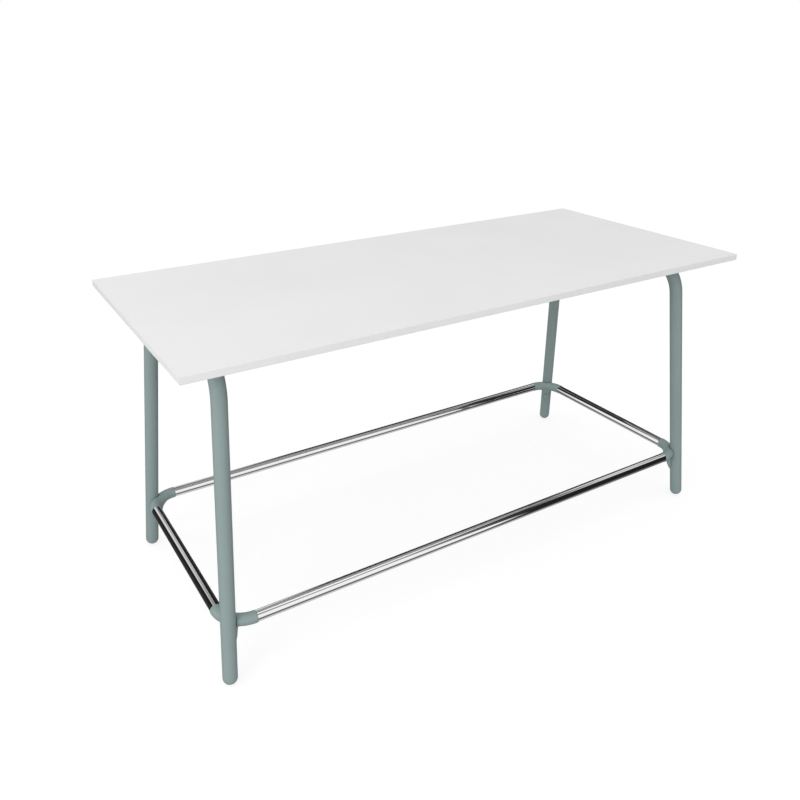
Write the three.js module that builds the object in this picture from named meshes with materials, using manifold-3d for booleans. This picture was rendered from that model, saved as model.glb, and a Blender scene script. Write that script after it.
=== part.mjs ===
// Standing meeting table: a white rectangular top on two splayed hoops of bent steel tube.
// Four chrome rails and painted corner elbows tie the legs together as a foot rest.
// Millimetres, +Z up. The origin is on the floor under the middle of the top,
// +X runs along the length and -Y is the front.

import * as THREE from 'three';
import { mergeVertices } from 'three/addons/utils/BufferGeometryUtils.js';
import Module from 'manifold-3d';

const wasm = await Module();
wasm.setup();

// Top: a faced board with a plastic band glued to each edge
const topLength = 1800;
const topWidth = 800;
const topHeight = 906;
const topThickness = 19;
const edgeBandThickness = 2;
const edgeBandRadius = 1;
const glueLine = 0.1;

// Hoops: each end frame is one bent tube whose legs splay both ways
const tubeDiameter = 40;
const tubeWall = 2;
const legSplayDegrees = 6;
const hoopBendRadius = 110;
const hoopEndInset = 126;
const hoopSideInset = 128.5;

// Foot rail: four straight tubes, set a little outside the legs' centre lines
const railHeight = 175;
const railDiameter = 31.8;
const railWall = 2;
const railOutset = 5.5;

// Elbows: cast bends saddled to the inner side of each leg, with a spigot for each rail
const elbowBendRadius = 78;
const elbowStraight = 2;
const elbowLip = 1.2;
const spigotLength = 40;
const spigotRoot = 20;
const spigotWall = 3;
const spigotChamfer = 1.5;
const coreDepth = 52;

// Gusset under each elbow: a wedge that runs out down the leg and takes the fixing screw
const gussetDrop = 56;
const gussetWidth = 22;
const gussetFillet = 8;
const gussetTipLength = 28;
const gussetProud = 16;
const gussetTipProud = 1.2;
const gussetBelly = 3;
const gussetScrewDrop = 13;
const gussetScrewSeat = 3.5;

// Levelling feet: a dome on a threaded stud, screwed into a plug in the leg's end
const footRim = 3;
const footChamfer = 0.8;
const studDiameter = 10;
const studInFoot = 12;
const studAbovePlug = 6;
const studChamfer = 1;
const plugLength = 25;

// Stringers: two box tubes between the hoops that keep the long top flat
const stringerWidth = 40;
const stringerHeight = 30;
const stringerWall = 2;
const stringerCornerRadius = 3;
const stringerEndGap = 0.5;
const midScrewOffset = 260;

// Saddle straps: each holds a hoop's top run and a stringer's end to the top
const strapWidth = 40;
const strapThickness = 3;
const strapOuterEar = 32;
const strapInnerEar = 80;
const strapToBend = 2;

// Screws
const topScrew = { shank: 5, head: 10, headHeight: 3.2, bite: 13 };
const elbowScrew = { shank: 5, head: 9, headHeight: 3, bite: 6 };
const headRounding = 1.2;
const drillMargin = 1;

// Clearances: seats that touch, pieces that slip into each other, holes round screws
const seatGap = 0.3;
const slipGap = 0.3;
const holeGap = 0.3;

// Facets round a tube, a stud or plug and a screw, and steps along the curves
const tubeFacets = 20;
const studFacets = 12;
const screwFacets = 8;
const bendSteps = 7;
const domeSteps = 9;
const strapSteps = 8;
const gussetSteps = 4;
const cornerSteps = 2;

// Sizes that follow from those above
const tubeRadius = tubeDiameter / 2;
const railRadius = railDiameter / 2;
const elbowRadius = railRadius + elbowLip;
const spigotRadius = railRadius - railWall - slipGap;
const coreRadius = spigotRadius - spigotWall;
const studRadius = studDiameter / 2;
const underside = topHeight - topThickness;
const runHeight = underside - seatGap - tubeRadius;
const runX = topLength / 2 - hoopEndInset;
const shoulderY = topWidth / 2 - hoopSideInset;
const lean = Math.tan(THREE.MathUtils.degToRad(legSplayDegrees));
const diagonalLean = lean * Math.SQRT2;
const elbowReach = elbowBendRadius + elbowStraight;
const stringerTop = underside - seatGap;
const stringerBottom = stringerTop - stringerHeight;
const strapInnerTop = stringerBottom - seatGap;
const gussetTop = -elbowRadius;
const gussetTip = gussetTop - gussetDrop;
const elbowScrewSeat = tubeRadius + seatGap + gussetScrewSeat;

const corners = [
  { name: 'front_left', sideX: -1, sideY: -1 },
  { name: 'front_right', sideX: 1, sideY: -1 },
  { name: 'back_right', sideX: 1, sideY: 1 },
  { name: 'back_left', sideX: -1, sideY: 1 },
];

const paint = { color: 0x8c9d99, roughness: 0.45, metalness: 0.1 };
const laminate = { color: 0xebebea, roughness: 0.5, metalness: 0 };
const bandPlastic = { color: 0xe4e4e3, roughness: 0.55, metalness: 0 };
const chrome = { color: 0xdcdedf, roughness: 0.06, metalness: 1 };
const zinc = { color: 0xa3a6a8, roughness: 0.35, metalness: 0.9 };
const footPlastic = { color: 0x8a9a96, roughness: 0.6, metalness: 0 };
const plugPlastic = { color: 0x26282a, roughness: 0.7, metalness: 0 };

// A centre line given by stations, so that a sweep has its rings only where the tube bends
class Centreline extends THREE.Curve {
  constructor(stations) {
    super();
    this.stations = stations;
  }

  stationAt(t) {
    return this.stations[Math.round(t * (this.stations.length - 1))];
  }

  getPoint(t, target = new THREE.Vector3()) {
    return target.copy(this.stationAt(t).point);
  }

  getTangent(t, target = new THREE.Vector3()) {
    return target.copy(this.stationAt(t).tangent);
  }

  getUtoTmapping(u) {
    return u;
  }
}

// Stations round a bend at a corner between two straight directions
function bendStations(corner, from, to, radius) {
  const turn = from.angleTo(to);
  const start = corner.clone().addScaledVector(from, -radius * Math.tan(turn / 2));
  const inward = to.clone().addScaledVector(from, -to.dot(from)).normalize();
  return Array.from({ length: bendSteps + 1 }, (_, step) => {
    const angle = (turn * step) / bendSteps;
    const point = start.clone()
      .addScaledVector(from, radius * Math.sin(angle))
      .addScaledVector(inward, radius * (1 - Math.cos(angle)));
    const tangent = from.clone().multiplyScalar(Math.cos(angle));
    return { point, tangent: tangent.addScaledVector(inward, Math.sin(angle)) };
  });
}

function circlePoints(radius, count) {
  return Array.from({ length: count }, (_, index) => {
    const angle = (2 * Math.PI * index) / count;
    return new THREE.Vector2(radius * Math.cos(angle), radius * Math.sin(angle));
  });
}

function disc(radius) {
  return new THREE.Shape(circlePoints(radius, tubeFacets));
}

function ring(outerRadius, innerRadius) {
  const shape = disc(outerRadius);
  shape.holes.push(new THREE.Path(circlePoints(innerRadius, tubeFacets).reverse()));
  return shape;
}

function roundedRectangle(shape, halfWidth, halfHeight, radius) {
  shape.moveTo(halfWidth, radius - halfHeight);
  shape.absarc(halfWidth - radius, halfHeight - radius, radius, 0, Math.PI / 2);
  shape.absarc(radius - halfWidth, halfHeight - radius, radius, Math.PI / 2, Math.PI);
  shape.absarc(radius - halfWidth, radius - halfHeight, radius, Math.PI, 1.5 * Math.PI);
  shape.absarc(halfWidth - radius, radius - halfHeight, radius, 1.5 * Math.PI, 2 * Math.PI);
  return shape;
}

function sweep(section, stations) {
  const extrudePath = new Centreline(stations);
  return new THREE.ExtrudeGeometry(section, { steps: stations.length - 1, extrudePath });
}

function prism(section, depth, curveSegments = cornerSteps) {
  const settings = { depth, steps: 1, curveSegments, bevelEnabled: false };
  return new THREE.ExtrudeGeometry(section, settings).translate(0, 0, -depth / 2);
}

// Turns a prism made along Z to lie along X, with its section's height upwards
const lyingAlongX = new THREE.Matrix4().makeBasis(
  new THREE.Vector3(0, 1, 0), new THREE.Vector3(0, 0, 1), new THREE.Vector3(1, 0, 0));

// Something made along Z, laid from a point in a direction
function layAlong(geometry, point, direction) {
  const turn = new THREE.Quaternion().setFromUnitVectors(new THREE.Vector3(0, 0, 1), direction);
  return geometry.applyQuaternion(turn).translate(point.x, point.y, point.z);
}

// A turned piece round the Z axis from radius and height pairs
function turned(profile, facets) {
  const points = profile.map(([radius, height]) => new THREE.Vector2(radius, height));
  return new THREE.LatheGeometry(points, facets).rotateX(Math.PI / 2);
}

// A drill along Z, with its flats outside the hole's radius
function drill(radius, bottom, top) {
  const flatsOut = radius / Math.cos(Math.PI / screwFacets);
  const profile = [[0, bottom], [flatsOut, bottom], [flatsOut, top], [0, top]];
  return turned(profile, screwFacets);
}

function solidOf(geometry) {
  const bare = geometry.clone();
  bare.deleteAttribute('normal');
  bare.deleteAttribute('uv');
  const merged = mergeVertices(bare);
  return new wasm.Manifold(new wasm.Mesh({
    numProp: 3,
    vertProperties: new Float32Array(merged.attributes.position.array),
    triVerts: new Uint32Array(merged.index.array),
  }));
}

function geometryOf(solid) {
  const mesh = solid.getMesh();
  const geometry = new THREE.BufferGeometry();
  geometry.setAttribute('position', new THREE.BufferAttribute(mesh.vertProperties, 3));
  geometry.setIndex(new THREE.BufferAttribute(mesh.triVerts, 1));
  geometry.computeVertexNormals();
  return geometry;
}

function cutAway(geometry, cutters) {
  const start = solidOf(geometry);
  return geometryOf(cutters.reduce((solid, cutter) => solid.subtract(solidOf(cutter)), start));
}

function piece(name, geometry, finish) {
  const mesh = new THREE.Mesh(geometry, new THREE.MeshStandardMaterial(finish));
  mesh.name = name;
  return mesh;
}

// The leg's centre line at a height, for the corner with both signs positive
function legAxis(height) {
  const drift = lean * (runHeight - height);
  return new THREE.Vector3(runX + drift, shoulderY + drift, height);
}

function cornerPoint(corner, point) {
  return new THREE.Vector3(corner.sideX * point.x, corner.sideY * point.y, point.z);
}

function legDirection(corner) {
  return new THREE.Vector3(-corner.sideX * lean, -corner.sideY * lean, 1).normalize();
}

// Carries a part from an elbow's own frame, leg at the origin and +X inwards, to its corner
function elbowPlace(corner) {
  const turn = Math.atan2(-corner.sideY, -corner.sideX);
  const place = new THREE.Matrix4().makeRotationZ(turn);
  return place.setPosition(cornerPoint(corner, legAxis(railHeight)));
}

// The line of an elbow's fixing screw in that frame, square to the leg and pointing inwards
function elbowScrewLine() {
  const height = gussetTop - gussetScrewDrop;
  const start = new THREE.Vector3(diagonalLean * height, 0, height);
  const direction = new THREE.Vector3(1, 0, -diagonalLean).normalize();
  return { start, direction };
}

// Half of the straight stretch on top of a hoop
function runHalfLength() {
  const up = new THREE.Vector3(-lean, -lean, 1).normalize();
  const turn = up.angleTo(new THREE.Vector3(0, -1, 0));
  return shoulderY - hoopBendRadius * Math.tan(turn / 2);
}

const stringerY = runHalfLength() - strapToBend - strapWidth / 2;
const stringerHalfLength = runX - tubeRadius - stringerEndGap;
const outerEarScrewX = runX + tubeRadius + seatGap + strapThickness + strapOuterEar / 2;
const innerEarScrewX = stringerHalfLength - strapInnerEar / 2;

// Places along a stringer where a screw goes up into the top
const stringerScrews = [
  { x: -innerEarScrewX, headSeat: strapInnerTop - strapThickness },
  { x: -midScrewOffset, headSeat: stringerBottom },
  { x: midScrewOffset, headSeat: stringerBottom },
  { x: innerEarScrewX, headSeat: strapInnerTop - strapThickness },
];

function screwGeometry(screw, length) {
  const headRadius = screw.head / 2;
  const shankRadius = screw.shank / 2;
  return turned([
    [0, -screw.headHeight],
    [headRadius - headRounding, -screw.headHeight],
    [headRadius, headRounding - screw.headHeight],
    [headRadius, 0],
    [shankRadius, 0],
    [shankRadius, length - shankRadius],
    [0, length],
  ], screwFacets);
}

function placedScrew(name, screw, x, y, headSeat, tip) {
  const mesh = piece(name, screwGeometry(screw, tip - headSeat), zinc);
  mesh.position.set(x, y, headSeat - seatGap);
  return mesh;
}

// The faced board, drilled from below for every screw
function tabletopPanel() {
  const band = edgeBandThickness + glueLine;
  const board = new THREE.BoxGeometry(topLength - 2 * band, topWidth - 2 * band, topThickness);
  board.translate(0, 0, underside + topThickness / 2);
  const spots = [];
  for (const side of [-1, 1]) {
    spots.push(...stringerScrews.map((screw) => [screw.x, side * stringerY]));
    spots.push([outerEarScrewX, side * stringerY], [-outerEarScrewX, side * stringerY]);
  }
  const holeRadius = topScrew.shank / 2 + holeGap;
  const depth = topScrew.bite + drillMargin;
  const drills = spots.map(([x, y]) => {
    return drill(holeRadius, underside - drillMargin, underside + depth).translate(x, y, 0);
  });
  return piece('tabletop_panel', cutAway(board, drills), laminate);
}

// One band, lying along X with its rounded face towards -Y
function edgeBandGeometry(length) {
  const shape = new THREE.Shape();
  const halfHeight = topThickness / 2;
  shape.moveTo(edgeBandThickness, -halfHeight);
  shape.lineTo(edgeBandThickness, halfHeight);
  shape.lineTo(edgeBandRadius, halfHeight);
  shape.absarc(edgeBandRadius, halfHeight - edgeBandRadius, edgeBandRadius, Math.PI / 2, Math.PI);
  shape.absarc(edgeBandRadius, edgeBandRadius - halfHeight, edgeBandRadius, Math.PI, 1.5 * Math.PI);
  return prism(shape, length).applyMatrix4(lyingAlongX);
}

function edgeBands() {
  const endLength = topWidth - 2 * (edgeBandThickness + glueLine);
  const sides = [
    { name: 'edge_band_front', length: topLength, reach: topWidth / 2, turn: 0 },
    { name: 'edge_band_right', length: endLength, reach: topLength / 2, turn: Math.PI / 2 },
    { name: 'edge_band_back', length: topLength, reach: topWidth / 2, turn: Math.PI },
    { name: 'edge_band_left', length: endLength, reach: topLength / 2, turn: -Math.PI / 2 },
  ];
  return sides.map(({ name, length, reach, turn }) => {
    const band = piece(name, edgeBandGeometry(length), bandPlastic);
    band.rotation.z = turn;
    band.position.set(reach * Math.sin(turn), -reach * Math.cos(turn), underside + topThickness / 2);
    return band;
  });
}

// Height up the leg's line from the floor to the middle of its dome
function domeCentreAlongLeg(corner) {
  return tubeRadius / legDirection(corner).z;
}

// One tube from the front leg's end, over both bends, to the back leg's end,
// drilled on its inner side for the screws of its elbows
function hoopGeometry() {
  const [front, back] = [corners[1], corners[2]];
  const ends = [front, back].map((corner) => {
    const foot = cornerPoint(corner, legAxis(0));
    const rise = domeCentreAlongLeg(corner) + footRim + seatGap;
    return foot.addScaledVector(legDirection(corner), rise);
  });
  const across = new THREE.Vector3(0, 1, 0);
  const up = legDirection(front);
  const down = legDirection(back).negate();
  const shoulder = legAxis(runHeight);
  const tube = sweep(ring(tubeRadius, tubeRadius - tubeWall), [
    { point: ends[0], tangent: up },
    ...bendStations(cornerPoint(front, shoulder), up, across, hoopBendRadius),
    ...bendStations(cornerPoint(back, shoulder), across, down, hoopBendRadius),
    { point: ends[1], tangent: down },
  ]);
  const { start, direction } = elbowScrewLine();
  const drills = [front, back].map((corner) => {
    const hole = drill(elbowScrew.shank / 2 + holeGap,
      tubeRadius - tubeWall - drillMargin, tubeRadius + drillMargin);
    return layAlong(hole, start, direction).applyMatrix4(elbowPlace(corner));
  });
  return cutAway(tube, drills);
}

function hoops() {
  return ['right_hoop', 'left_hoop'].map((name, index) => {
    const hoop = piece(name, hoopGeometry(), paint);
    hoop.rotation.z = index * Math.PI;
    return hoop;
  });
}

// An elbow's arms and the point where their centre lines would cross, in its own frame
const elbowArms = [-1, 1].map((side) => new THREE.Vector3(Math.SQRT1_2, side * Math.SQRT1_2, 0));
const elbowCorner = new THREE.Vector3(-railOutset * Math.SQRT2, 0, 0);

function elbowBend() {
  const [first, second] = elbowArms;
  const inbound = first.clone().negate();
  return sweep(disc(elbowRadius), [
    { point: elbowShoulder(first), tangent: inbound },
    ...bendStations(elbowCorner, inbound, second, elbowBendRadius),
    { point: elbowShoulder(second), tangent: second },
  ]);
}

function elbowShoulder(arm) {
  return elbowCorner.clone().addScaledVector(arm, elbowReach);
}

// The end that a rail slides on to, rooted inside the bend
function spigot(arm) {
  const profile = [
    [0, -spigotRoot],
    [spigotRadius, -spigotRoot],
    [spigotRadius, spigotLength - spigotChamfer],
    [spigotRadius - spigotChamfer, spigotLength],
    [0, spigotLength],
  ];
  return layAlong(turned(profile, studFacets), elbowShoulder(arm), arm);
}

// The blind hole that lightens a spigot
function spigotCore(arm) {
  const bottom = spigotLength - coreDepth;
  const top = spigotLength + drillMargin;
  const profile = [[0, bottom], [coreRadius, bottom], [coreRadius, top], [0, top]];
  return layAlong(turned(profile, studFacets), elbowShoulder(arm), arm);
}

// The wedge's outline from the front, flared into the arms above, with a long rounded tip
function gussetFront(flareWidth) {
  const halfWidth = gussetWidth / 2;
  const filletHeight = gussetTop - gussetFillet;
  const tipCentre = gussetTip + gussetTipLength;
  const front = new THREE.Shape();
  front.moveTo(-flareWidth, 0);
  front.lineTo(-flareWidth, gussetTop);
  front.absarc(-flareWidth, filletHeight, gussetFillet, Math.PI / 2, 0, true);
  front.absellipse(0, tipCentre, halfWidth, gussetTipLength, Math.PI, 2 * Math.PI);
  front.absarc(flareWidth, filletHeight, gussetFillet, Math.PI, Math.PI / 2, true);
  front.lineTo(flareWidth, 0);
  return front;
}

// Its outline from the side: rooted in the leg, with a bellied face that runs out down it
function gussetSide() {
  const offLeg = (height, out) => out * Math.hypot(1, diagonalLean) + diagonalLean * height;
  const root = Math.sqrt(tubeRadius ** 2 - (gussetWidth / 2) ** 2);
  const topReach = offLeg(gussetTop, tubeRadius) + gussetProud;
  const tipReach = offLeg(gussetTip, tubeRadius) + gussetTipProud;
  const bow = 2 * gussetBelly;
  const side = new THREE.Shape();
  side.moveTo(offLeg(0, root), 0);
  side.lineTo(offLeg(gussetTip, root), gussetTip);
  side.lineTo(tipReach, gussetTip);
  side.quadraticCurveTo(
    (tipReach + topReach) / 2 + bow, (gussetTip + gussetTop) / 2, topReach, gussetTop);
  side.lineTo(topReach, 0);
  return { side, reach: topReach };
}

function gusset() {
  const flareWidth = gussetWidth / 2 + gussetFillet;
  const { side, reach } = gussetSide();
  const frontRun = prism(gussetFront(flareWidth), 2 * reach, gussetSteps).applyMatrix4(lyingAlongX);
  const sideRun = prism(side, 2 * (flareWidth + drillMargin), gussetSteps).rotateX(Math.PI / 2);
  return solidOf(frontRun).intersect(solidOf(sideRun));
}

// The leg's own form, a seat gap larger, which cuts the saddle
function saddleCutter() {
  const radius = (tubeRadius + seatGap) / Math.cos(Math.PI / tubeFacets);
  const halfLength = elbowRadius + gussetDrop + tubeDiameter;
  const profile = [[0, -halfLength], [radius, -halfLength], [radius, halfLength], [0, halfLength]];
  const legLine = new THREE.Vector3(diagonalLean, 0, 1).normalize();
  return layAlong(turned(profile, tubeFacets), new THREE.Vector3(), legLine);
}

// The bend with its spigots and gusset, cored, drilled for its screw and saddled to the leg
function elbowGeometry() {
  let body = solidOf(elbowBend()).add(gusset());
  for (const arm of elbowArms) {
    body = body.add(solidOf(spigot(arm))).subtract(solidOf(spigotCore(arm)));
  }
  const { start, direction } = elbowScrewLine();
  const faceReach = elbowScrewSeat + gussetProud;
  const shankHole = drill(elbowScrew.shank / 2 + holeGap, 0, faceReach);
  const headHole = drill(elbowScrew.head / 2 + holeGap, elbowScrewSeat, faceReach);
  for (const hole of [shankHole, headHole]) {
    body = body.subtract(solidOf(layAlong(hole, start, direction)));
  }
  return geometryOf(body.subtract(solidOf(saddleCutter())));
}

// Each elbow with the screw that holds its gusset to the leg
function elbows() {
  const casting = elbowGeometry();
  const { start, direction } = elbowScrewLine();
  const headPoint = start.clone().addScaledVector(direction, elbowScrewSeat + seatGap);
  const screwLength = seatGap + gussetScrewSeat + elbowScrew.bite;
  const screw = screwGeometry(elbowScrew, screwLength);
  layAlong(screw, headPoint, direction.clone().negate());
  return corners.flatMap((corner) => {
    const pieces = [
      piece(`elbow_${corner.name}`, casting, paint),
      piece(`elbow_screw_${corner.name}`, screw, paint),
    ];
    pieces.forEach((mesh) => mesh.applyMatrix4(elbowPlace(corner)));
    return pieces;
  });
}

// Plain tubes that run from shoulder to shoulder over the spigots
function footRails() {
  const corner = legAxis(railHeight);
  const railX = corner.x + railOutset;
  const railY = corner.y + railOutset;
  const rails = [
    { name: 'front_foot_rail', half: railX, x: 0, y: -railY, turn: 0 },
    { name: 'right_foot_rail', half: railY, x: railX, y: 0, turn: Math.PI / 2 },
    { name: 'back_foot_rail', half: railX, x: 0, y: railY, turn: 0 },
    { name: 'left_foot_rail', half: railY, x: -railX, y: 0, turn: Math.PI / 2 },
  ];
  return rails.map(({ name, half, x, y, turn }) => {
    const tube = prism(ring(railRadius, railRadius - railWall), 2 * (half - elbowReach - seatGap));
    const rail = piece(name, tube.rotateY(Math.PI / 2), chrome);
    rail.position.set(x, y, railHeight);
    rail.rotation.z = turn;
    return rail;
  });
}

// Dome, stud and plug of one leg, round the leg's own centre line
function levellingFoot(corner) {
  const seat = footRim + seatGap;
  const holeRadius = studRadius + slipGap;
  const dome = Array.from({ length: domeSteps + 1 }, (_, step) => {
    const angle = (Math.PI / 2) * (step / domeSteps);
    return [tubeRadius * Math.sin(angle), -tubeRadius * Math.cos(angle)];
  });
  const studBottom = footRim - studInFoot;
  const studTop = seat + plugLength + studAbovePlug;
  const footProfile = [
    ...dome,
    [tubeRadius, footRim - footChamfer],
    [tubeRadius - footChamfer, footRim],
    [holeRadius, footRim],
    [holeRadius, studBottom - seatGap],
    [0, studBottom - seatGap],
  ];
  const studProfile = [
    [0, studBottom],
    [studRadius, studBottom],
    [studRadius, studTop - studChamfer],
    [studRadius - studChamfer, studTop],
    [0, studTop],
  ];
  const plugRadius = tubeRadius - tubeWall - slipGap;
  const plugProfile = [
    [holeRadius, seat],
    [plugRadius, seat],
    [plugRadius, seat + plugLength],
    [holeRadius, seat + plugLength],
    [holeRadius, seat],
  ];
  const foot = new THREE.Group();
  foot.add(
    piece(`dome_foot_${corner.name}`, turned(footProfile, tubeFacets), footPlastic),
    piece(`levelling_stud_${corner.name}`, turned(studProfile, studFacets), zinc),
    piece(`leg_plug_${corner.name}`, turned(plugProfile, studFacets), plugPlastic),
  );
  const direction = legDirection(corner);
  foot.position.copy(cornerPoint(corner, legAxis(0)));
  foot.position.addScaledVector(direction, domeCentreAlongLeg(corner));
  foot.quaternion.setFromUnitVectors(new THREE.Vector3(0, 0, 1), direction);
  return foot;
}

// Box tube drilled right through for its screws
function stringers() {
  const outline = roundedRectangle(
    new THREE.Shape(), stringerWidth / 2, stringerHeight / 2, stringerCornerRadius);
  const hollow = roundedRectangle(new THREE.Path(), stringerWidth / 2 - stringerWall,
    stringerHeight / 2 - stringerWall, stringerCornerRadius - stringerWall);
  outline.holes.push(hollow);
  const reach = stringerHeight / 2 + drillMargin;
  const hole = drill(topScrew.shank / 2 + holeGap, -reach, reach);
  const holes = stringerScrews.map((screw) => hole.clone().translate(screw.x, 0, 0));
  const tube = prism(outline, 2 * stringerHalfLength).applyMatrix4(lyingAlongX);
  const pieces = [];
  for (const [name, side] of [['front', -1], ['back', 1]]) {
    const stringer = piece(`${name}_stringer`, cutAway(tube, holes), paint);
    stringer.position.set(0, side * stringerY, (stringerTop + stringerBottom) / 2);
    pieces.push(stringer);
    stringerScrews.forEach((screw, index) => {
      const label = `stringer_screw_${name}_${index + 1}`;
      const tip = underside + topScrew.bite;
      pieces.push(placedScrew(label, topScrew, screw.x, side * stringerY, screw.headSeat, tip));
    });
  }
  return pieces;
}

// A folded strap that hooks under the hoop's run, outer ear against the top
function strapGeometry() {
  const inner = tubeRadius + seatGap;
  const outer = inner + strapThickness;
  const earTop = underside - seatGap - runHeight;
  const tongueTop = strapInnerTop - runHeight;
  const tongueEnd = stringerHalfLength - strapInnerEar - runX;
  const onCircle = (radius, height) => Math.PI - Math.asin(height / radius);
  const shape = new THREE.Shape();
  shape.moveTo(outer + strapOuterEar, earTop);
  shape.lineTo(inner, earTop);
  shape.absarc(0, 0, inner, 0, onCircle(inner, tongueTop), true);
  shape.lineTo(tongueEnd, tongueTop);
  shape.lineTo(tongueEnd, tongueTop - strapThickness);
  shape.absarc(0, 0, outer, onCircle(outer, tongueTop - strapThickness), 2 * Math.PI);
  shape.lineTo(outer, earTop - strapThickness);
  shape.lineTo(outer + strapOuterEar, earTop - strapThickness);
  const strap = prism(shape, strapWidth, strapSteps).rotateX(Math.PI / 2);
  const hole = drill(topScrew.shank / 2 + holeGap, -2 * outer, 2 * outer);
  const holes = [outerEarScrewX, innerEarScrewX].map((x) => hole.clone().translate(x - runX, 0, 0));
  return cutAway(strap, holes);
}

function saddleStraps() {
  return corners.flatMap((corner) => {
    const strap = piece(`saddle_strap_${corner.name}`, strapGeometry(), zinc);
    strap.position.set(corner.sideX * runX, corner.sideY * stringerY, runHeight);
    strap.rotation.z = corner.sideX > 0 ? 0 : Math.PI;
    const headSeat = underside - seatGap - strapThickness;
    const screwX = corner.sideX * outerEarScrewX;
    const tip = underside + topScrew.bite;
    const label = `strap_screw_${corner.name}`;
    return [strap, placedScrew(label, topScrew, screwX, corner.sideY * stringerY, headSeat, tip)];
  });
}

const table = new THREE.Group();
table.add(tabletopPanel());
table.add(...edgeBands());
table.add(...hoops());
table.add(...stringers());
table.add(...saddleStraps());
table.add(...elbows());
table.add(...footRails());
table.add(...corners.map(levellingFoot));

export default table;
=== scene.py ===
"""Looks of a standing meeting table: fine surfaces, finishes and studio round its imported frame.

Sizes are in metres, +Z up, in the frame's own coordinates: X along the table's length, Y away from the
front, and the origin on the floor under the middle of the top.
"""

from __future__ import annotations

import logging
import math
from collections.abc import Callable, Mapping, Sequence
from dataclasses import dataclass
from enum import Enum
from typing import Any

import bmesh
import bpy
from mathutils import Matrix, Vector

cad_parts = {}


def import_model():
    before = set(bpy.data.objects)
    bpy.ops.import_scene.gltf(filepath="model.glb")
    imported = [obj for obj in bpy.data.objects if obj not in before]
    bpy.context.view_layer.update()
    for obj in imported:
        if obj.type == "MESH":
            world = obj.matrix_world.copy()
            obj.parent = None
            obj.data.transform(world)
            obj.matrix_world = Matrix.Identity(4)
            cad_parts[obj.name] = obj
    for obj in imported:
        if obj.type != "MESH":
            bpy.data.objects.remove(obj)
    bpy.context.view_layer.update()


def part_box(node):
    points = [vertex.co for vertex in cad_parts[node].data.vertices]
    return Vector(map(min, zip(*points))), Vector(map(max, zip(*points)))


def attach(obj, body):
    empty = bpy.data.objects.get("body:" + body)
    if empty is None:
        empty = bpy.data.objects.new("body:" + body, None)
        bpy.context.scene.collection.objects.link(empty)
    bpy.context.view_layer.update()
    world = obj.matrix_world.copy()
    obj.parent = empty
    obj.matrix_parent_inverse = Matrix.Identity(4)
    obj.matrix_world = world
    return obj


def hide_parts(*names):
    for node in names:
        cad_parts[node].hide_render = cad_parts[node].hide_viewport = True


LOG = logging.getLogger("meeting_table")
FRAME_BODY = "frame"
MERGE_DISTANCE = 1e-6

# The curve that turns a screen's colour levels into light.
FULL_LEVEL = 255
SRGB_KNEE = 0.04045
SRGB_SLOPE = 12.92
SRGB_LIFT = 0.055
SRGB_POWER = 2.4

# Diagonal of a unit square, and the share of a diagonal that goes along each side.
DIAGONAL = math.sqrt(2)
SLANT = math.sqrt(0.5)

# How far the middle of an eased corner lies inside the sharp one, along each axis, as a share of the ease.
EASE_BULGE = 0.3

# What the finishes' noises have in common: roughness, middle, and the range that a cloud rises in.
NOISE_ROUGHNESS = 0.55
NOISE_MIDDLE = 0.5
CLOUD_RANGE = (0.3, 0.7)

Point = tuple[float, float]
Triple = tuple[float, float, float]
Colour = tuple[float, float, float, float]
Box = tuple[Vector, Vector]


class Axis(Enum):
    """Direction that a straight piece runs in."""

    X = 0
    Y = 1

    @property
    def label(self) -> str:
        """Name of the axis as it stands in the finishes' names."""
        return self.name.lower()

    def numbers(self, along: float, across: float) -> Triple:
        """One number for this axis and another for the other two."""
        return tuple(along if number == self.value else across for number in range(3))


class Side(Enum):
    """The table's four sides, with the direction that each runs in."""

    FRONT = ("front", Axis.X)
    RIGHT = ("right", Axis.Y)
    BACK = ("back", Axis.X)
    LEFT = ("left", Axis.Y)

    def __init__(self, label: str, along: Axis) -> None:
        """Keeps the side's name as it stands in the nodes' names, and its direction."""
        self.label = label
        self.along = along


class Corner(Enum):
    """The table's four corners, with the side of X and of Y that each lies on."""

    FRONT_LEFT = (-1, -1)
    FRONT_RIGHT = (1, -1)
    BACK_RIGHT = (1, 1)
    BACK_LEFT = (-1, 1)

    def __init__(self, side_x: int, side_y: int) -> None:
        """Keeps the sides that the corner lies on."""
        self.side_x = side_x
        self.side_y = side_y

    @property
    def label(self) -> str:
        """Name of the corner as it stands in the nodes' names."""
        return self.name.lower()

    def mirrored(self, point: Vector) -> Vector:
        """Takes a point at the back right corner to the same point at this one."""
        return Vector((point.x * self.side_x, point.y * self.side_y, point.z))


class Slot(Enum):
    """Material slots of the record."""

    LAMINATE = "laminate_top"
    EDGE_BAND = "edge_band"
    PAINT = "sage_paint"
    CHROME = "chrome_rail"
    ZINC = "zinc_steel"
    FOOT = "foot_plastic"
    PLUG = "plug_plastic"


def swatch(red: int, green: int, blue: int) -> Colour:
    """Turns a colour as a screen shows it into the linear colour that a shader takes.

    Args:
        red: red level from 0 to 255.
        green: green level from 0 to 255.
        blue: blue level from 0 to 255.

    Returns:
        The linear colour, with an alpha of 1.
    """
    levels = [level / FULL_LEVEL for level in (red, green, blue)]
    linear = [
        level / SRGB_SLOPE if level <= SRGB_KNEE else ((level + SRGB_LIFT) / (1 + SRGB_LIFT)) ** SRGB_POWER
        for level in levels
    ]
    return (*linear, 1.0)


def dimmed(colour: Colour, share: float) -> Colour:
    """The colour with its light levels multiplied by a share."""
    return (colour[0] * share, colour[1] * share, colour[2] * share, colour[3])


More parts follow.
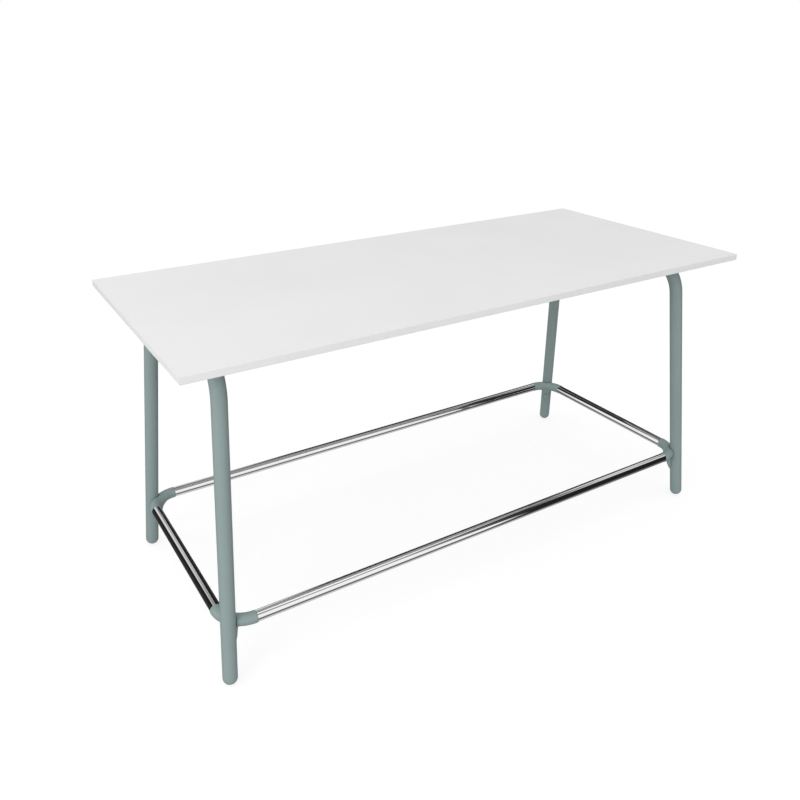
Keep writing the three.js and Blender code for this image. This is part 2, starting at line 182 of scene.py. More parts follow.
class Signal:
    """A node's output, which adds Math nodes to its tree when it stands in an expression."""

    def __init__(self, graph: NodeGraph, socket: bpy.types.NodeSocket) -> None:
        """Wraps a socket of a graph."""
        self.graph = graph
        self.socket = socket

    def __add__(self, other: Signal | float) -> Signal:
        """self + other"""
        return self.graph.maths("ADD", self, other)

    def __radd__(self, other: float) -> Signal:
        """other + self"""
        return self.graph.maths("ADD", other, self)

    def __sub__(self, other: Signal | float) -> Signal:
        """self - other"""
        return self.graph.maths("SUBTRACT", self, other)

    def __rsub__(self, other: float) -> Signal:
        """other - self"""
        return self.graph.maths("SUBTRACT", other, self)

    def __mul__(self, other: Signal | float) -> Signal:
        """self * other"""
        return self.graph.maths("MULTIPLY", self, other)

    def __rmul__(self, other: float) -> Signal:
        """other * self"""
        return self.graph.maths("MULTIPLY", other, self)

    def __truediv__(self, other: Signal | float) -> Signal:
        """self / other"""
        return self.graph.maths("DIVIDE", self, other)

    def __rtruediv__(self, other: float) -> Signal:
        """other / self"""
        return self.graph.maths("DIVIDE", other, self)

    def __neg__(self) -> Signal:
        """-self"""
        return self.graph.maths("MULTIPLY", self, -1.0)

    def __abs__(self) -> Signal:
        """abs(self)"""
        return self.graph.maths("ABSOLUTE", self)

    def over(self, limit: Signal | float) -> Signal:
        """1 where this value is above the limit, else 0."""
        return self.graph.maths("GREATER_THAN", self, limit)

    def least(self, other: Signal | float, blend: Signal | float | None = None) -> Signal:
        """The smaller of two values, rounded over where they meet if a blend is given."""
        blends = [] if blend is None else [blend]
        return self.graph.maths("SMOOTH_MIN" if blends else "MINIMUM", self, other, *blends)

    def most(self, other: Signal | float, blend: Signal | float | None = None) -> Signal:
        """The larger of two values, rounded over where they meet if a blend is given."""
        blends = [] if blend is None else [blend]
        return self.graph.maths("SMOOTH_MAX" if blends else "MAXIMUM", self, other, *blends)

    def ramp(self, start: float, end: float) -> Signal:
        """A smooth rise from 0 at start to 1 at end, which may lie below start."""
        sockets = {"Value": self, "From Min": start, "From Max": end}
        return self.graph.add("ShaderNodeMapRange", {"interpolation_type": "SMOOTHSTEP"}, sockets)

    def swing(self, amount: float) -> Signal:
        """A noise as a change of that amount, half of it up and half of it down."""
        return amount * (self - NOISE_MIDDLE)

    def beside(self, output: str) -> Signal:
        """Another output of the same node."""
        return Signal(self.graph, self.socket.node.outputs[output])


class NodeGraph:
    """A node tree with one way to add a node, and the patterns that the finishes share."""

    # Sockets of a Mix node on colours go by number, because those on values have the same names.
    MIX_SHARE, MIX_LOW, MIX_HIGH, MIX_RESULT = 0, 6, 7, 2

    def __init__(self, tree: bpy.types.NodeTree) -> None:
        """Wraps a node tree."""
        self.tree = tree

    @classmethod
    def fresh(cls, owner: bpy.types.Material | bpy.types.World) -> NodeGraph:
        """Gives a material or a world an empty node tree.

        Args:
            owner: the material or the world.

        Returns:
            The tree's graph.
        """
        owner.use_nodes = True
        owner.node_tree.nodes.clear()
        return cls(owner.node_tree)

    def add(
        self,
        kind: str,
        settings: Mapping[str, Any] | None = None,
        sockets: Mapping[str | int, Any] | None = None,
        output: str | int = 0,
    ) -> Signal:
        """Adds a node to the tree.

        Args:
            kind: type of the node.
            settings: its properties, set first.
            sockets: values or links of its inputs, by name or number.
            output: name or number of the output to give back.

        Returns:
            That output, or nothing useful for a node without one.
        """
        node = self.tree.nodes.new(kind)
        for name, value in (settings or {}).items():
            setattr(node, name, value)
        for key, value in (sockets or {}).items():
            if isinstance(value, Signal):
                self.tree.links.new(value.socket, node.inputs[key])
            else:
                node.inputs[key].default_value = value
        return Signal(self, node.outputs[output] if node.outputs else None)

    def maths(self, operation: str, *values: Signal | float) -> Signal:
        """Adds a Math node on one to three values."""
        return self.add("ShaderNodeMath", {"operation": operation}, dict(enumerate(values)))

    def length(self, *parts: Signal) -> Signal:
        """Length of a vector from its parts."""
        squares = [part * part for part in parts]
        return self.maths("SQRT", sum(squares[1:], squares[0]))

    def axes(self, vector: Signal) -> tuple[Signal, Signal, Signal]:
        """The three parts of a vector."""
        x = self.add("ShaderNodeSeparateXYZ", None, {"Vector": vector}, "X")
        return x, x.beside("Y"), x.beside("Z")

    def place(self, stretch: Triple = (1, 1, 1)) -> Signal:
        """Object coordinates, multiplied by a stretch for each axis."""
        point = self.add("ShaderNodeTexCoord", output="Object")
        return self.add("ShaderNodeMapping", sockets={"Vector": point, "Scale": stretch})

    def noise(self, place: Signal, scale: float, detail: float = 2.0) -> Signal:
        """Noise from 0 to 1 with a number of lumps to the metre."""
        sockets = {"Vector": place, "Scale": scale, "Detail": detail, "Roughness": NOISE_ROUGHNESS}
        return self.add("ShaderNodeTexNoise", None, sockets)

    def lines(self, along: Axis, stretch: float, scale: float, detail: float = 2.0) -> Signal:
        """Noise drawn out into fine lines along an axis."""
        return self.noise(self.place(along.numbers(stretch, 1.0)), scale, detail)

    def tint(self, share: Signal, low: Colour | Signal, high: Colour | Signal) -> Signal:
        """Colour between two others by a share from 0 to 1."""
        sockets = {self.MIX_SHARE: share, self.MIX_LOW: low, self.MIX_HIGH: high}
        return self.add("ShaderNodeMix", {"data_type": "RGBA"}, sockets, self.MIX_RESULT)

    def shaded(self, share: Signal, colour: Colour, low: float) -> Signal:
        """Colour from a low share of its light levels up to all of them, by a share from 0 to 1."""
        return self.tint(share, dimmed(colour, low), colour)

    def relief(self, height: Signal, depth: float) -> Signal:
        """Normal of a surface with a relief of that depth in metres."""
        return self.add("ShaderNodeBump", None, {"Strength": 1.0, "Distance": depth, "Height": height})

    def surface(self, **sockets: Any) -> Signal:
        """Principled shader, with underscores for the spaces in its sockets' names."""
        named = {name.replace("_", " "): value for name, value in sockets.items()}
        return self.add("ShaderNodeBsdfPrincipled", None, named)


@dataclass(frozen=True)
class Finish:
    """A named material made from nodes."""

    name: str

    def shader(self, graph: NodeGraph) -> Signal:
        """Adds the finish's nodes to a graph and gives back their shader."""
        raise NotImplementedError

    def material(self) -> bpy.types.Material:
        """Makes the material, or gives back the one that was made before.

        Returns:
            The material.
        """
        made = bpy.data.materials.get(self.name)
        if made is None:
            made = bpy.data.materials.new(self.name)
            graph = NodeGraph.fresh(made)
            graph.add("ShaderNodeOutputMaterial", None, {"Surface": self.shader(graph)})
        return made


@dataclass(frozen=True)
class PowderCoat(Finish):
    """Satin powder coat: a fine orange peel, and a slow drift in tone and gloss."""

    colour: Colour
    roughness: float = 0.46
    specular: float = 0.42
    peel_scale: float = 620.0
    peel_depth: float = 0.00005
    peel_gloss: float = 0.1
    fleck_scale: float = 1860.0
    fleck_range: Point = (0.35, 0.65)
    fleck_share: float = 0.35
    drift_scale: float = 7.0
    drift_gloss: float = 0.06
    drift_tone: float = 0.95

    def shader(self, graph: NodeGraph) -> Signal:
        """Adds the coat's nodes.

        Args:
            graph: tree of the material.

        Returns:
            The coat's shader.
        """
        place = graph.place()
        peel = graph.noise(place, self.peel_scale)
        fleck = graph.noise(place, self.fleck_scale, detail=0.0).ramp(*self.fleck_range)
        drift = graph.noise(place, self.drift_scale)
        tone = (1 - self.fleck_share) * drift.ramp(*CLOUD_RANGE) + self.fleck_share * fleck
        return graph.surface(
            Base_Color=graph.shaded(tone, self.colour, self.drift_tone),
            Roughness=self.roughness + peel.swing(self.peel_gloss) + drift.swing(self.drift_gloss),
            Normal=graph.relief(peel, self.peel_depth),
            Specular_IOR_Level=self.specular,
        )


@dataclass(frozen=True)
class ChromePlate(Finish):
    """Bright chrome on drawn tube: faint polishing lines along it and a light haze of handling."""

    along: Axis
    colour: Colour = swatch(240, 240, 240)
    roughness: float = 0.03
    line_scale: float = 900.0
    line_stretch: float = 0.012
    line_depth: float = 0.0000015
    line_gloss: float = 0.02
    haze_scale: float = 14.0
    haze_range: Point = (0.5, 0.75)
    haze_gloss: float = 0.02
    haze_tone: float = 0.96

    def shader(self, graph: NodeGraph) -> Signal:
        """Adds the plate's nodes.

        Args:
            graph: tree of the material.

        Returns:
            The plate's shader.
        """
        lines = graph.lines(self.along, self.line_stretch, self.line_scale, detail=3.0)
        haze = graph.noise(graph.place(), self.haze_scale, detail=4.0).ramp(*self.haze_range)
        return graph.surface(
            Base_Color=graph.tint(haze, self.colour, dimmed(self.colour, self.haze_tone)),
            Metallic=1.0,
            Roughness=self.roughness + lines.swing(self.line_gloss) + self.haze_gloss * haze,
            Normal=graph.relief(lines, self.line_depth),
        )


@dataclass(frozen=True)
class Laminate(Finish):
    """White decor laminate: a pearl texture pressed into it, and barely any change in tone."""

    colour: Colour = swatch(236, 236, 236)
    roughness: float = 0.55
    specular: float = 0.25
    pearl_scale: float = 480.0
    pearl_depth: float = 0.00003
    pearl_gloss: float = 0.08
    cloud_scale: float = 3.5
    cloud_gloss: float = 0.08
    cloud_tone: float = 0.985

    def shader(self, graph: NodeGraph) -> Signal:
        """Adds the laminate's nodes.

        Args:
            graph: tree of the material.

        Returns:
            The laminate's shader.
        """
        place = graph.place()
        pearl = graph.noise(place, self.pearl_scale)
        cloud = graph.noise(place, self.cloud_scale, detail=3.0)
        return graph.surface(
            Base_Color=graph.shaded(cloud.ramp(*CLOUD_RANGE), self.colour, self.cloud_tone),
            Roughness=self.roughness + pearl.swing(self.pearl_gloss) + cloud.swing(self.cloud_gloss),
            Normal=graph.relief(pearl, self.pearl_depth),
            Specular_IOR_Level=self.specular,
        )


@dataclass(frozen=True)
class EdgeBanding(Finish):
    """Plastic edging: fine lines along the band from its scraping, on a plain white."""

    along: Axis
    colour: Colour = swatch(233, 233, 233)
    roughness: float = 0.48
    specular: float = 0.2
    line_scale: float = 2200.0
    line_stretch: float = 0.01
    line_depth: float = 0.00001
    line_gloss: float = 0.14
    cloud_scale: float = 9.0
    cloud_tone: float = 0.98

    def shader(self, graph: NodeGraph) -> Signal:
        """Adds the edging's nodes.

        Args:
            graph: tree of the material.

        Returns:
            The edging's shader.
        """
        lines = graph.lines(self.along, self.line_stretch, self.line_scale)
        cloud = graph.noise(graph.place(), self.cloud_scale)
        return graph.surface(
            Base_Color=graph.shaded(cloud.ramp(*CLOUD_RANGE), self.colour, self.cloud_tone),
            Roughness=self.roughness + lines.swing(self.line_gloss),
            Normal=graph.relief(lines, self.line_depth),
            Specular_IOR_Level=self.specular,
        )


@dataclass(frozen=True)
class ZincPlate(Finish):
    """Zinc on steel: grains of slightly different grey and gloss."""

    colour: Colour = swatch(190, 192, 194)
    roughness: float = 0.3
    grain_scale: float = 260.0
    grain_share: float = 0.6
    grain_gloss: float = 0.16
    dull_scale: float = 40.0
    dull_depth: float = 0.00002
    dull_gloss: float = 0.1
    dull_tone: float = 0.72

    def shader(self, graph: NodeGraph) -> Signal:
        """Adds the zinc's nodes.

        Args:
            graph: tree of the material.

        Returns:
            The zinc's shader.
        """
        place = graph.place()
        cells = {"Vector": place, "Scale": self.grain_scale}
        grain = graph.axes(graph.add("ShaderNodeTexVoronoi", None, cells, "Color"))[0]
        dull = graph.noise(place, self.dull_scale, detail=4.0)
        tone = self.grain_share * grain + (1 - self.grain_share) * dull.ramp(*CLOUD_RANGE)
        return graph.surface(
            Base_Color=graph.shaded(tone, self.colour, self.dull_tone),
            Metallic=1.0,
            Roughness=self.roughness + self.grain_gloss * grain + self.dull_gloss * dull,
            Normal=graph.relief(dull, self.dull_depth),
        )


@dataclass(frozen=True)
class MouldedPlastic(Finish):
    """Moulded plastic with a spark-eroded texture, scuffed where it meets the floor."""

    colour: Colour
    roughness: float = 0.5
    texture_scale: float = 1500.0
    texture_depth: float = 0.00003
    texture_gloss: float = 0.1
    cloud_scale: float = 30.0
    cloud_tone: float = 0.95
    scuff_colour: Colour = swatch(176, 178, 174)
    scuff_height: float = 0.006
    scuff_scale: float = 300.0
    scuff_range: Point = (0.4, 0.65)
    scuff_share: float = 0.5
    scuff_gloss: float = 0.25

    def shader(self, graph: NodeGraph) -> Signal:
        """Adds the plastic's nodes.

        Args:
            graph: tree of the material.

        Returns:
            The plastic's shader.
        """
        place = graph.place()
        texture = graph.noise(place, self.texture_scale)
        patch = graph.noise(place, self.scuff_scale, detail=4.0).ramp(*self.scuff_range)
        scuff = patch * graph.axes(place)[2].ramp(self.scuff_height, 0.0)
        cloud = graph.noise(place, self.cloud_scale)
        base = graph.shaded(cloud.ramp(*CLOUD_RANGE), self.colour, self.cloud_tone)
        return graph.surface(
            Base_Color=graph.tint(self.scuff_share * scuff, base, self.scuff_colour),
            Roughness=self.roughness + texture.swing(self.texture_gloss) + self.scuff_gloss * scuff,
            Normal=graph.relief(texture, self.texture_depth),
        )


SAGE = swatch(139, 156, 154)
SAGE_PAINT = PowderCoat("sage_powder_coat", SAGE)
SAGE_PLASTIC = MouldedPlastic("sage_foot_plastic", SAGE)
PLUG_PLASTIC = MouldedPlastic("black_plug_plastic", swatch(42, 43, 44))
WHITE_LAMINATE = Laminate("white_laminate")
ZINC = ZincPlate("zinc_plate")


def skin(rings: Sequence[Sequence[Vector]], closed: bool = False) -> bpy.types.Mesh:
    """Joins rings of equally many points into a mesh.

    Args:
        rings: the rings, each a closed loop of points. A ring whose points are all one point is a pole.
        closed: whether the last ring joins the first, as round a wall. If not, the ends are capped.

    Returns:
        The mesh, with its doubles merged and its faces pointing outwards.
    """
    count = len(rings[0])
    made = bmesh.new()
    loops = [[made.verts.new(point) for point in ring] for ring in rings]
    pairs = list(zip(loops, loops[1:]))
    if closed:
        pairs.append((loops[-1], loops[0]))
    else:
        made.faces.new(loops[0])
        made.faces.new(loops[-1])
    for near, far in pairs:
        for step in range(count):
            after = (step + 1) % count
            made.faces.new((near[step], near[after], far[after], far[step]))
    bmesh.ops.remove_doubles(made, verts=made.verts, dist=MERGE_DISTANCE)
    bmesh.ops.dissolve_degenerate(made, edges=made.edges, dist=MERGE_DISTANCE)
    bmesh.ops.recalc_face_normals(made, faces=made.faces)
    mesh = bpy.data.meshes.new("skin")
    made.to_mesh(mesh)
    made.free()
    return mesh


def turned(
    profile: Sequence[Point],
    facets: int,
    closed: bool = False,
    swell: Callable[[int, float], float] | None = None,
) -> bpy.types.Mesh:
    """Turns a profile round +Z, as on a lathe.

    Args:
        profile: radius and height of each point.
        facets: points round the circle.
        closed: whether the profile closes on itself, as round the wall of a tube.
        swell: factor on the radius for a point's number in the profile and its angle, for lobes.

    Returns:
        The mesh.
    """
    angles = [2 * math.pi * step / facets for step in range(facets)]
    rings = []
    for number, (radius, height) in enumerate(profile):
        ring = []
        for angle in angles:
            reach = radius * (swell(number, angle) if swell else 1.0)
            ring.append(Vector((reach * math.cos(angle), reach * math.sin(angle), height)))
        rings.append(ring)
    return skin(rings, closed)


def arc(centre: Point, radius: float, start: float, end: float, steps: int) -> list[Point]:
    """Points of an arc in a plane.

    Args:
        centre: its centre.
        radius: its radius.
        start: angle of its first point, in degrees.
        end: angle of its last point, in degrees.
        steps: number of chords.

    Returns:
        The points, from the first to the last.
    """
    angles = [math.radians(start + (end - start) * step / steps) for step in range(steps + 1)]
    u, v = centre
    return [(u + radius * math.cos(angle), v + radius * math.sin(angle)) for angle in angles]


def rounded_rectangle(width: float, height: float, radius: float, steps: int) -> list[Point]:
    """Outline of a rectangle with round corners, about the origin.

    Args:
        width: size along the first axis.
        height: size along the second axis.
        radius: radius of its corners.
        steps: number of chords in each corner.

    Returns:
        The outline's points.
    """
    outline = []
    for side_u, side_v, start in ((1, 1, 0), (-1, 1, 90), (-1, -1, 180), (1, -1, 270)):
        centre = (side_u * (width / 2 - radius), side_v * (height / 2 - radius))
        outline += arc(centre, radius, start, start + 90, steps)
    return outline


def eased(radius: float, height: float, ease: float) -> list[Point]:
    """Profile of the eased corner at the top of a turned piece, from the top to the side."""
    bulge = EASE_BULGE * ease
    return [(radius - ease, height), (radius - bulge, height - bulge), (radius, height - ease)]


def aimed(point: Vector, direction: Vector) -> Matrix:
    """Matrix that takes +Z to a direction and the origin to a point."""
    return Matrix.Translation(point) @ direction.to_track_quat("Z", "Y").to_matrix().to_4x4()


def softened(
    mesh: bpy.types.Mesh, width: float, segments: int = 2, least_angle: float = 40.0
) -> bpy.types.Mesh:
    """Rounds the sharp edges of a mesh.

    Args:
        mesh: the mesh, which is changed.
        width: width of the rounding.
        segments: number of faces across it.
        least_angle: angle between faces, in degrees, from which an edge is rounded.

    Returns:
        The same mesh.
    """
    made = bmesh.new()
    made.from_mesh(mesh)
    limit = math.radians(least_angle)
    sharp = [edge for edge in made.edges if edge.is_manifold and edge.calc_face_angle(0.0) > limit]
    rounding = {"offset": width, "segments": segments, "profile": 0.5, "clamp_overlap": True}
    bmesh.ops.bevel(made, geom=sharp, affect="EDGES", **rounding)
    made.to_mesh(mesh)
    made.free()
    return mesh


def linked(name: str, data: bpy.types.ID) -> bpy.types.Object:
    """Makes an object in the scene.

    Args:
        name: the object's name.
        data: its mesh, camera or lamp.

    Returns:
        The object, at the origin.
    """
    made = bpy.data.objects.new(name, data)
    bpy.context.scene.collection.objects.link(made)
    return made


def plain_mesh(carrier: bpy.types.Object) -> bpy.types.Mesh:
    """A mesh of what an object's modifiers make."""
    evaluated = carrier.evaluated_get(bpy.context.evaluated_depsgraph_get())
    return bpy.data.meshes.new_from_object(evaluated)


def install(
    name: str,
    mesh: bpy.types.Mesh,
    finish: Finish,
    nodes: Sequence[str],
    body: str = FRAME_BODY,
    crease: float = 35.0,
) -> None:
    """Puts a piece on its body in place of the nodes that it stands for, shaded by its larger faces.

    Args:
        name: the piece's name.
        mesh: its mesh, already in place.
        finish: its finish.
        nodes: names of the nodes.
        body: name of the body that it moves with.
        crease: angle between faces, in degrees, from which an edge stays sharp in the shading.
    """
    mesh.name = name
    mesh.materials.clear()
    mesh.materials.append(finish.material())
    mesh.shade_smooth()
    mesh.set_sharp_from_angle(angle=math.radians(crease))
    piece = linked(name, mesh)
    piece.modifiers.new("even_shading", "WEIGHTED_NORMAL").keep_sharp = True
    piece.data = plain_mesh(piece)
    piece.modifiers.clear()
    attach(piece, body)
    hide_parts(*nodes)
    LOG.info("%s on %s, %d faces", piece.name, body, len(piece.data.polygons))


class NodeModel:
    """A Geometry Nodes tree with named inputs, and the mesh that it makes."""

    KINDS = {float: "NodeSocketFloat", int: "NodeSocketInt", bpy.types.Object: "NodeSocketObject"}

    def __init__(self, name: str) -> None:
        """Starts a tree that takes and gives geometry.

        Args:
            name: the tree's name.
        """
        self.tree = bpy.data.node_groups.new(name, "GeometryNodeTree")
        self.graph = NodeGraph(self.tree)
        self.values: dict[str, Any] = {}
        for way in ("INPUT", "OUTPUT"):
            self.tree.interface.new_socket("Geometry", in_out=way, socket_type="NodeSocketGeometry")
        self.source = self.graph.add("NodeGroupInput", output="Geometry")

    def take(self, name: str, value: float | int | bpy.types.Object) -> Signal:
        """Adds a named input.

        Args:
            name: the input's name.
            value: what it is set to on the modifier.

        Returns:
            The input, for use in the tree.
        """
        kind = self.KINDS[type(value)]
        socket = self.tree.interface.new_socket(name, in_out="INPUT", socket_type=kind)
        self.values[socket.identifier] = value
        return self.source.beside(name)

    def sizes(self, owner: object, *fields: str) -> list[Signal]:
        """Adds an input for each of these sizes of an assembly, named after its field."""
        return [self.take(field.replace("_", " ").capitalize(), getattr(owner, field)) for field in fields]

    def give(self, geometry: Signal, finish: Finish) -> None:
        """Ends the tree: instances become real, and the finish is set.

        Args:
            geometry: what the tree has made.
            finish: its finish.
        """
        real = self.graph.add("GeometryNodeRealizeInstances", None, {"Geometry": geometry})
        sockets = {"Geometry": real, "Material": finish.material()}
        dressed = self.graph.add("GeometryNodeSetMaterial", None, sockets)
        self.graph.add("NodeGroupOutput", None, {"Geometry": dressed})

    def mesh(self, start: bpy.types.Mesh) -> bpy.types.Mesh:
        """Runs the tree.

        Args:
            start: mesh that goes into the tree.

        Returns:
            A plain mesh of what comes out.
        """
        carrier = linked(self.tree.name, start)
        modifier = carrier.modifiers.new(self.tree.name, "NODES")
        modifier.node_group = self.tree
        for identifier, value in self.values.items():
            modifier[identifier] = value
        result = plain_mesh(carrier)
        bpy.data.objects.remove(carrier)
        return result


def wire(points: Sequence[Vector], joined: bool) -> bpy.types.Mesh:
    """Makes a mesh of bare points.

    Args:
        points: the points.
        joined: whether edges join them into a line.

    Returns:
        The mesh.
    """
    edges = [(number, number + 1) for number in range(len(points) - 1)] if joined else []
    mesh = bpy.data.meshes.new("wire")
    mesh.from_pydata([tuple(point) for point in points], edges, [])
    return mesh


@dataclass(frozen=True)
class LegStance:
    """Centre lines of the four legs, which lean out from the shoulders of the hoops."""

    tube_radius: float = 0.020
    splay: float = math.radians(6.0)
    side_inset: float = 0.1285

    @property
    def lean(self) -> float:
        """How far a leg goes out, along X and along Y, for its height."""
        return math.tan(self.splay)

    def shoulder(self) -> Vector:
        """Finds where the leg's line meets the run's line.

        Returns:
            The point at the back right corner.
        """
        low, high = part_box("right_hoop")
        table_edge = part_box("edge_band_back")[1].y
        run_height = high.z - self.tube_radius
        return Vector((low.x + self.tube_radius, table_edge - self.side_inset, run_height))

    def at(self, height: float, corner: Corner) -> Vector:
        """Finds a point on a leg's line.

        Args:
            height: height above the floor.
            corner: the leg's corner.

        Returns:
            The point.
        """
        shoulder = self.shoulder()
        out = self.lean * (shoulder.z - height)
        return corner.mirrored(Vector((shoulder.x + out, shoulder.y + out, height)))

    def up(self, corner: Corner) -> Vector:
        """Direction of a leg's line, upwards."""
        return (self.at(1.0, corner) - self.at(0.0, corner)).normalized()

    def foot_centre(self, corner: Corner) -> Vector:
        """Centre of the dome that a leg stands on."""
        return self.at(self.tube_radius, corner)


@dataclass(frozen=True)
class Tabletop:
    """The faced board and the four bands on its edges."""

    board_softening: float = 0.00012
    board_steps: int = 2
    band_radius: float = 0.001
    band_steps: int = 6
    band_end_softening: float = 0.0003

    def build(self) -> None:
        """Makes the board and its bands."""
        self.board()
        for side in Side:
            self.band(side)

    def board(self) -> None:
        """Makes the board with its edges eased."""
        low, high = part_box("tabletop_panel")
        size, middle = high - low, (low + high) / 2
        outline = rounded_rectangle(size.x, size.y, self.board_softening, self.board_steps)
        face_share = 1 - self.board_softening / size.y
        rings = [
            [Vector((middle.x + u * share, middle.y + v * share, z)) for u, v in outline]
            for z, share in (
                (low.z, face_share),
                (low.z + self.board_softening, 1.0),
                (high.z - self.board_softening, 1.0),
                (high.z, face_share),
            )
        ]
        install("faced_board", skin(rings), WHITE_LAMINATE, ["tabletop_panel"])

    def band(self, side: Side) -> None:
        """Makes one band.

        Args:
            side: side of the table that it lies on.
        """
        node = f"edge_band_{side.label}"
        low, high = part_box(node)
        along, across = side.along.value, 1 - side.along.value
        outward = 1 if low[across] > 0 else -1
        inner = low[across] if outward > 0 else high[across]
        corner = high[across] - low[across] - self.band_radius
        profile = [(0.0, low.z)]
        profile += arc((corner, low.z + self.band_radius), self.band_radius, -90, 0, self.band_steps)
        profile += arc((corner, high.z - self.band_radius), self.band_radius, 0, 90, self.band_steps)
        profile += [(0.0, high.z)]
        rings = []
        for end in (low[along], high[along]):
            ring = []
            for reach, height in profile:
                point = Vector((0.0, 0.0, height))
                point[along] = end
                point[across] = inner + outward * reach
                ring.append(point)
            rings.append(ring)
        mesh = softened(skin(rings), self.band_end_softening)
        finish = EdgeBanding(f"white_edging_{side.along.label}", side.along)
        install(f"{side.label}_edging", mesh, finish, [node])


@dataclass(frozen=True)
class EndHoops:
    """The two bent tubes, each with two legs and the run under the top."""

    stance: LegStance
    wall: float = 0.002
    bend_radius: float = 0.110
    end_gap: float = 0.0033
    facets: int = 96
    bend_steps: int = 40

    def model(self, name: str, radius: float) -> NodeModel:
        """Tree that rounds the bends of a line and sweeps a circle along it.

        Args:
            name: the tree's name.
            radius: the circle's radius.

        Returns:
            The tree.
        """
        model = NodeModel(name)
        add = model.graph.add
        bend, steps, facets = model.sizes(self, "bend_radius", "bend_steps", "facets")
        tube = model.take("Tube radius", radius)
        line = add("GeometryNodeMeshToCurve", None, {"Mesh": model.source})
        fillet = {"Curve": line, "Count": steps, "Radius": bend}
        path = add("GeometryNodeFilletCurve", {"mode": "POLY"}, fillet)
        circle = add("GeometryNodeCurvePrimitiveCircle", None, {"Resolution": facets, "Radius": tube})
        swept = add("GeometryNodeCurveToMesh", None, {"Curve": path, "Profile Curve": circle})
        model.give(swept, SAGE_PAINT)
        return model

    def line(self, front: Corner, back: Corner) -> bpy.types.Mesh:
        """Makes the centre line of one hoop with sharp corners.

        Args:
            front: corner that the line starts at.
            back: corner that it ends at.

        Returns:
            The line, from foot to foot.
        """
        shoulder = self.stance.shoulder()
        start, end = (
            self.stance.foot_centre(corner) + self.stance.up(corner) * self.end_gap
            for corner in (front, back)
        )
        return wire([start, front.mirrored(shoulder), back.mirrored(shoulder), end], joined=True)

    def walled(self, outside: bpy.types.Mesh, bore: bpy.types.Mesh) -> bpy.types.Mesh:
        """Skins the rings of points of a tube's outside, then those of its bore on the way back.

        Args:
            outside: swept mesh of the outside, whose points lie ring after ring.
            bore: swept mesh of the bore, with the same number of points.

        Returns:
            One closed mesh, with a flat ring at each end.
        """
        rings = []
        for mesh, order in ((outside, 1), (bore, -1)):
            points = [vertex.co.copy() for vertex in mesh.vertices]
            loops = [points[start : start + self.facets] for start in range(0, len(points), self.facets)]
            rings += loops[::order]
        return skin(rings, closed=True)

    def build(self) -> None:
        """Makes both hoops."""
        radius = self.stance.tube_radius
        tube, bore = self.model("hoop_tube", radius), self.model("hoop_bore", radius - self.wall)
        for side, front, back in (
            (Side.RIGHT, Corner.FRONT_RIGHT, Corner.BACK_RIGHT),
            (Side.LEFT, Corner.FRONT_LEFT, Corner.BACK_LEFT),
        ):
            mesh = self.walled(tube.mesh(self.line(front, back)), bore.mesh(self.line(front, back)))
            install(f"{side.label}_bent_hoop", mesh, SAGE_PAINT, [f"{side.label}_hoop"])


